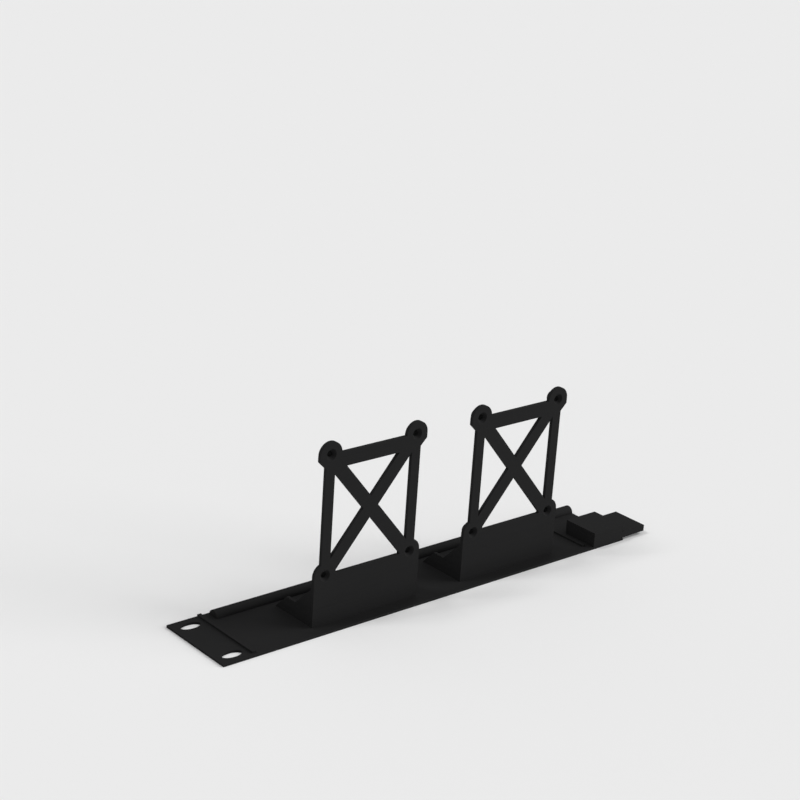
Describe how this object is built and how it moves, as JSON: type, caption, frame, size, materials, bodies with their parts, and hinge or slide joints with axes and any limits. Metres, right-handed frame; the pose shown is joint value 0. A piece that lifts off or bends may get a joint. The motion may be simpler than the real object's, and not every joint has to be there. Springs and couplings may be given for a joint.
{
  "type": "mini computer rack mount bracket",
  "caption": "Flat half-width rack panel with a slotted ear, upright X-braced plates with screw bosses that hold small computer boards on edge, a stiffening bead and a lap tongue",
  "frame": {"origin": "below the middle of the whole bracket, on the panel's front face, which lies down", "axes": "+X along the panel from the rack ear to the tongue, +Y across the panel towards the bead, +Z into the rack"},
  "size_m": [0.2612, 0.044, 0.0895],
  "materials": {
    "printed_plastic": "matte black, with the fine layer lines of a printed part"
  },
  "bodies": {
    "root": {"rack_bracket": "printed_plastic"}
  },
  "joints": []
}
